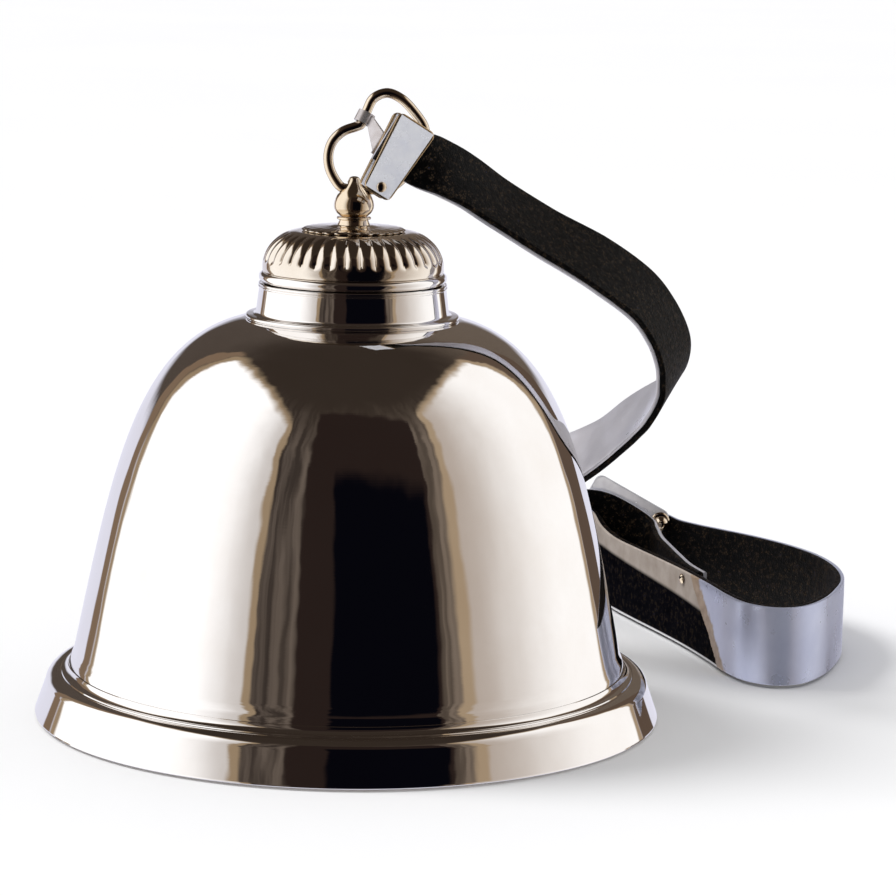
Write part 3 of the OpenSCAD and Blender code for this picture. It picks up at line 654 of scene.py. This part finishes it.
def knob_stem():
    stem_z, seat_z = CAP_TOP_Z + 1.25, FINIAL_Z - SEAT_GAP
    stem = rounded([(STUD_BORE, stem_z), (3.15, stem_z), (3.0, stem_z + 0.25), (2.75, stem_z + 0.9),
                    (3.0, FINIAL_Z - 0.55), (3.25, FINIAL_Z - 0.45), (3.25, FINIAL_Z - 0.15),
                    (3.1, seat_z), (STUD_BORE, seat_z)], 0.08, 3)
    return lathe("knob_stem", stem, 96, closed=True)


def pear_knob():
    """The pear-shaped knob, with the ring's hole cut through it along X."""
    belly_z, tip_z, steps = FINIAL_Z + 2, CROSS_Z + 2.4, 40
    pear = [(FINIAL_R, belly_z), (FINIAL_R, belly_z + 2.3), (1.7, CROSS_Z + 0.1), (0.95, tip_z - 0.35)]
    knob = [(0, FINIAL_Z + 0.02), (2.5, FINIAL_Z + 0.02)] + arc((FINIAL_R - 2, belly_z), 2, -60, 0, 14)
    knob += [bez(pear, i / steps) for i in range(1, steps + 1)]
    knob += [(0.75, tip_z - 0.18), (0.45, tip_z - 0.05), (0, tip_z)]
    obj = lathe("pear_knob", knob, 96)
    reach = 8
    cutter = lathe("cutter", [(0, -reach), (CROSS_R, -reach), (CROSS_R, reach), (0, reach)], 48,
                   place=lambda p: Vector((p.z, p.y, CROSS_Z + p.x)))
    cut = obj.modifiers.new("hole", "BOOLEAN")
    cut.object, cut.operation, cut.solver = cutter, "DIFFERENCE", "EXACT"
    bpy.context.view_layer.update()
    drilled = bpy.data.meshes.new_from_object(obj.evaluated_get(bpy.context.evaluated_depsgraph_get()))
    obj.modifiers.clear()
    obj.data = drilled
    bpy.data.objects.remove(cutter)
    shade(drilled)
    return obj


finish_piece(bell_body(), "bell", NICKEL, "bell_shell")
finish_piece(foot_rim(), "bell", NICKEL, "mouth_rim")
finish_piece(neck_sleeve(), "bell", NICKEL, "neck_collar")
finish_piece(neck_bead(), "bell", NICKEL, "bead_ring")
finish_piece(fluted_dome(), "bell", NICKEL_CAP, "fluted_cap")
finish_piece(top_rosette(), "bell", NICKEL_CAP, "cap_rosette")
finish_piece(knob_stem(), "bell", GOLD, "finial_stem")
finish_piece(pear_knob(), "bell", GOLD, "finial")


# ---------------------------------------------------------------- ring
def wire_heart():
    """Round wire along the heart, leaning back about the hole in the knob."""
    steps, around, count = 12, 20, len(HEART)
    path = []
    for i in range(count):
        corners = [HEART[(i + o) % count] for o in (-1, 0, 1, 2)]
        path += [spline(*corners, s / steps) for s in range(steps)]
    rings = []
    for k, p in enumerate(path):
        t = (path[(k + 1) % len(path)] - path[k - 1]).normalized()
        out = Vector((-t.y, t.x))
        ring = []
        for i in range(around):
            a = 2 * math.pi * i / around
            across = WIRE_R * math.cos(a)
            x, y, z = p.x + across * out.x, WIRE_R * math.sin(a), p.y + across * out.y
            ring.append((x, y * math.cos(RING_LEAN) + z * math.sin(RING_LEAN),
                         CROSS_Z + z * math.cos(RING_LEAN) - y * math.sin(RING_LEAN)))
        rings.append(ring)
    return rings_mesh("wire_heart", rings, closed=True)


finish_piece(wire_heart(), "ring", GOLD, "heart_ring")


# ---------------------------------------------------------------- clip
def clip_layer(off):
    at = in_plane(CLIP_MID, CLIP_ACROSS, CLIP_ALONG)
    return lambda p: at((p[0], p[1], p[2] + off))


clip_outline = outline(PLATE_LEN, CLIP_W, CLIP_LOW_W, CLIP_CORNER)
clip_thick = PLATE_BACK - PLATE_FRONT + PLATE_T
finish_piece(plate("clip_front", clip_outline, clip_layer(PLATE_FRONT)), "strap", CLIP,
             "clip_front_plate")
finish_piece(plate("clip_back", clip_outline, clip_layer(PLATE_BACK)), "strap", CLIP,
             "clip_back_plate")
clip_pin_at = clip_layer((PLATE_FRONT + PLATE_BACK) / 2)((*CLIP_RIVET, 0))
finish_piece(rivet("clip_pin", clip_pin_at, CLIP_ACROSS.cross(CLIP_ALONG), 0.7, 1.0, clip_thick + 0.04),
             "strap", GOLD, "clip_rivet")

# ---------------------------------------------------------------- leather
STEPS = 10
strap_pts = smooth([at for at, across in STRAP_ROUTE], STEPS)
strap_across = smooth([across for at, across in STRAP_ROUTE], STEPS)
route_w = STRAP_NARROW + [STRAP_W] * (len(STRAP_ROUTE) - len(STRAP_NARROW))
strap_w = [v.x for v in smooth([(w, 0) for w in route_w], STEPS)]
loop_pts = smooth([(x, y, z + LOOP_LIFT) for x, y, z in LOOP_ROUTE], STEPS)
loop_across = [Vector((0, 0, 1))] * len(loop_pts)
loop_w = [STRAP_W] * len(loop_pts)
finish_piece(band("strap_foil", strap_pts, strap_across, strap_w, -FACE_T, -SEAT_GAP), "strap", FOIL,
             "strap_face")
finish_piece(band("strap_grain", strap_pts, strap_across, strap_w, 0, LINING_T), "strap", LEATHER,
             "strap_lining")
finish_piece(band("loop_foil", loop_pts, loop_across, loop_w, SEAT_GAP, FACE_T), "strap", LOOP_FOIL,
             "loop_face")
finish_piece(band("loop_grain", loop_pts, loop_across, loop_w, -LINING_T, 0), "strap", LEATHER,
             "loop_lining")


# ---------------------------------------------------------------- closing
def round_stud(place):
    """A ball on a shank that ends in a flat foot."""
    ball_r, shank_r, foot_r, foot_z, end_z = 1.5, 0.75, 2, 6.3, 7
    turns = [math.radians(a) for a in range(0, 150, 10)]
    stud = [(ball_r * math.sin(a), -ball_r * math.cos(a)) for a in turns]
    stud += [(shank_r, 1.32), (shank_r, foot_z), (foot_r, foot_z), (foot_r, end_z - 0.15),
             (foot_r - 0.15, end_z), (0, end_z)]
    return lathe("round_stud", stud, 48, place=place)


def stud_collar(place):
    collar = [(0.8, 1.4), (1.7, 1.4), (1.95, 1.55), (2.1, 1.7), (2.1, 2.1), (0.8, 2.1)]
    return lathe("stud_collar", collar, 48, closed=True, place=place)


end_outline = outline(CLOSING_LEN, CLOSING_W, CLOSING_W, CLOSING_CORNER)
finish_piece(plate("end_plate", end_outline, in_plane(CLOSING_MID, CLOSING_ALONG, CLOSING_UP)), "strap",
             PLATE, "closing_plate")
stud_side = Vector((-STUD_DIR.y, STUD_DIR.x, 0))
on_stud = in_plane(STUD_AT, stud_side, STUD_DIR.cross(stud_side))
finish_piece(round_stud(on_stud), "strap", GOLD, "ball_stud")
finish_piece(stud_collar(on_stud), "strap", GOLD, "stud_washer")
finish_piece(rivet("tail_pin", TAIL_AT, TAIL_DIR, PIN_R, PIN_HEAD_R, TAIL_LEN), "strap", GOLD,
             "tail_rivet")
for i, pin_at in enumerate(JOINING_AT):
    finish_piece(rivet(f"joining_pin_{i}", pin_at, JOINING_DIR, PIN_R, PIN_HEAD_R, JOINING_LEN), "strap",
                 GOLD, "joining_rivets")

# ---------------------------------------------------------------- pieces kept from the CAD
for node in ("centre_stud", "crown_washer", "crown_nut", "clapper_eye", "clapper_link", "clapper_rod",
             "clapper_tip_nut"):
    dress(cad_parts[node], STEEL)
dress(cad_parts["clapper_ball"], CAST)
dress(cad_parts["clip_hook"], HOOK)

# ---------------------------------------------------------------- floor
FLOOR_HALF, FLOOR_Z = 40.0, -0.0004   # metres


def floor_paint():
    m, n, s = material("floor_pale")
    n.feed(s.inputs["Base Color"], n.mix(n.noise(n.coords(), 3, 3), (0.90, 0.90, 0.91), (0.93, 0.93, 0.935)))
    s.inputs["Roughness"].default_value = 0.7
    s.inputs["Specular IOR Level"].default_value = 0.15
    return m


floor_data = bpy.data.meshes.new("floor")
corner_signs = ((-1, -1), (1, -1), (1, 1), (-1, 1))
floor_corners = [(sx * FLOOR_HALF, sy * FLOOR_HALF, FLOOR_Z) for sx, sy in corner_signs]
floor_data.from_pydata(floor_corners, [], [(0, 1, 2, 3)])
floor = linked("floor", floor_data)
floor_data.materials.append(floor_paint())
floor.visible_glossy = False      # the mirror surfaces reflect the studio walls down to their foot

# ---------------------------------------------------------------- studio
# Panels on the side walls, as (start, end, top), each measured in distances from the bell to the wall:
# the soft boxes, the brown fringe round each, and a dark strip behind each
LEFT_BOX, LEFT_FRINGE, LEFT_STRIP = (-1.05, 0.86, 1.42), (-1.20, 1.0, 1.6), (1.02, 1.3, 1.6)
RIGHT_BOX, RIGHT_FRINGE, RIGHT_STRIP = (-0.72, 0.92, 1.42), (-0.86, 1.05, 1.6), (1.05, 1.9, 1.6)
# Dark openings in the wall ahead, as (left, right, top), and how far the walls' lines wander
WIDE_ARCH, BLACK_ARCH = (-0.42, 0.85, 1.45), (-0.13, 0.80, 0.60)
WANDER = 0.09


def studio():
    """What the metal mirrors: a dark room ahead and above, and soft boxes at both sides."""
    world = bpy.data.worlds.new("studio")
    bpy.context.scene.world = world
    world.use_nodes = True
    n = Nodes(world.node_tree)
    direction = n.new("ShaderNodeTexCoord").outputs["Generated"]
    sway = n.vector("SUBTRACT", n.noise(direction, 7, 2, 0.5, "Color"), (0.5, 0.5, 0.5))
    x, y, z = n.split(n.vector("MULTIPLY_ADD", sway, (WANDER, WANDER, WANDER), direction))

    # Where a ray meets the side walls, and where it meets the wall ahead
    aside, ahead = n.math("MAXIMUM", n.math("ABSOLUTE", x), 0.001), n.times(y, -1.0)
    side_y, side_z = n.math("DIVIDE", y, aside), n.math("DIVIDE", z, aside)
    front_y = n.math("MAXIMUM", ahead, 0.001)
    front_x, front_z = n.math("DIVIDE", x, front_y), n.math("DIVIDE", z, front_y)
    right, in_front = n.step(x, -0.02, 0.02), n.step(ahead, 0.0, 0.05)
    left = n.minus(1.0, right)

    def panel(start, end, top, side):
        return n.times(n.times(n.between(side_y, start, end, 0.035), n.below(side_z, top, 0.12)), side)

    def opening(start, end, top):
        return n.times(n.times(n.between(front_x, start, end, 0.02), n.below(front_z, top, 0.08)), in_front)

    streak_at = n.new("ShaderNodeCombineXYZ")
    n.feed(streak_at.inputs[0], front_x)
    n.feed(streak_at.inputs[2], n.times(front_z, 0.12))
    streak = n.step(n.noise(streak_at.outputs[0], 8, 3, 0.6), 0.35, 0.65)
    room = n.mix(n.step(front_x, -0.9, 0.6), (0.070, 0.053, 0.045), (0.15, 0.115, 0.09))
    room = n.mix(streak, n.mix(0.45, room, (0.0, 0.0, 0.0)), n.mix(0.12, room, (0.55, 0.45, 0.36)))
    low_behind = n.times(n.step(y, 0.05, 0.35), n.minus(1.0, n.step(z, 0.05, 0.17)))
    left_glow = n.mix(n.step(side_y, -1.05, -0.35), (0.66, 0.62, 0.60), (1.25, 1.24, 1.25))
    right_glow = n.mix(n.step(side_y, -0.75, 0.35), (0.50, 0.43, 0.38), (1.12, 1.10, 1.09))
    for mask, colour in (
            (low_behind, (0.80, 0.80, 0.92)),
            (n.step(z, 0.55, 0.9), (0.036, 0.026, 0.020)),
            (opening(*WIDE_ARCH), (0.022, 0.014, 0.012)),
            (opening(*BLACK_ARCH), (0.002, 0.002, 0.004)),
            (panel(*RIGHT_STRIP, right), (0.11, 0.075, 0.055)),
            (panel(*LEFT_STRIP, left), (0.22, 0.15, 0.10)),
            (panel(*LEFT_FRINGE, left), (0.34, 0.25, 0.16)),
            (panel(*RIGHT_FRINGE, right), (0.40, 0.30, 0.20)),
            (panel(*LEFT_BOX, left), left_glow),
            (panel(*RIGHT_BOX, right), right_glow)):
        room = n.mix(mask, room, colour)

    # The camera sees a plain pale backdrop, and the matt surfaces are lit by an even grey
    rays = n.new("ShaderNodeLightPath").outputs
    seen = n.mix(rays["Is Camera Ray"], room, (0.97, 0.97, 0.975))
    shade_node = n.new("ShaderNodeBackground")
    n.feed(shade_node.inputs["Color"], n.mix(rays["Is Diffuse Ray"], seen, (0.70, 0.70, 0.705)))
    shade_node.inputs["Strength"].default_value = 1.0
    n.feed(n.new("ShaderNodeOutputWorld").inputs[0], shade_node.outputs[0])


studio()

# A broad soft light from above, on the left and a little behind
KEY_DIR, KEY_ENERGY, KEY_SPREAD = (0.8, -0.22, -0.95), 1.9, 26
key_data = bpy.data.lights.new("key", "SUN")
key_data.energy, key_data.angle = KEY_ENERGY, math.radians(KEY_SPREAD)
key = linked("key", key_data)
key.rotation_mode = "QUATERNION"
key.rotation_quaternion = Vector(KEY_DIR).to_track_quat("-Z", "Y")
key.visible_camera = False
key.visible_glossy = False

# ---------------------------------------------------------------- camera
YAW, PITCH, ROLL = 0.02869, 0.1659, 0.0192   # radians
CAMERA_AT = (0, -650, 160.377)
SENSOR, LENS = 36.0, 138.3324107


def camera():
    forward = Vector((math.sin(YAW) * math.cos(PITCH), math.cos(YAW) * math.cos(PITCH), -math.sin(PITCH)))
    level = Vector((math.cos(YAW), -math.sin(YAW), 0))
    rise = level.cross(forward)
    right = math.cos(ROLL) * level + math.sin(ROLL) * rise
    up = -math.sin(ROLL) * level + math.cos(ROLL) * rise
    data = bpy.data.cameras.new("camera")
    data.sensor_width = SENSOR
    data.lens = LENS
    data.clip_start, data.clip_end = 0.05, 100
    cam = linked("camera", data)
    columns = (right, up, -forward, Vector(CAMERA_AT) * MM)
    cam.matrix_world = Matrix([[c[row] for c in columns] for row in range(3)] + [[0, 0, 0, 1]])
    return cam


bpy.context.scene.camera = camera()
bpy.context.scene.view_settings.view_transform = "Standard"

bpy.context.view_layer.update()
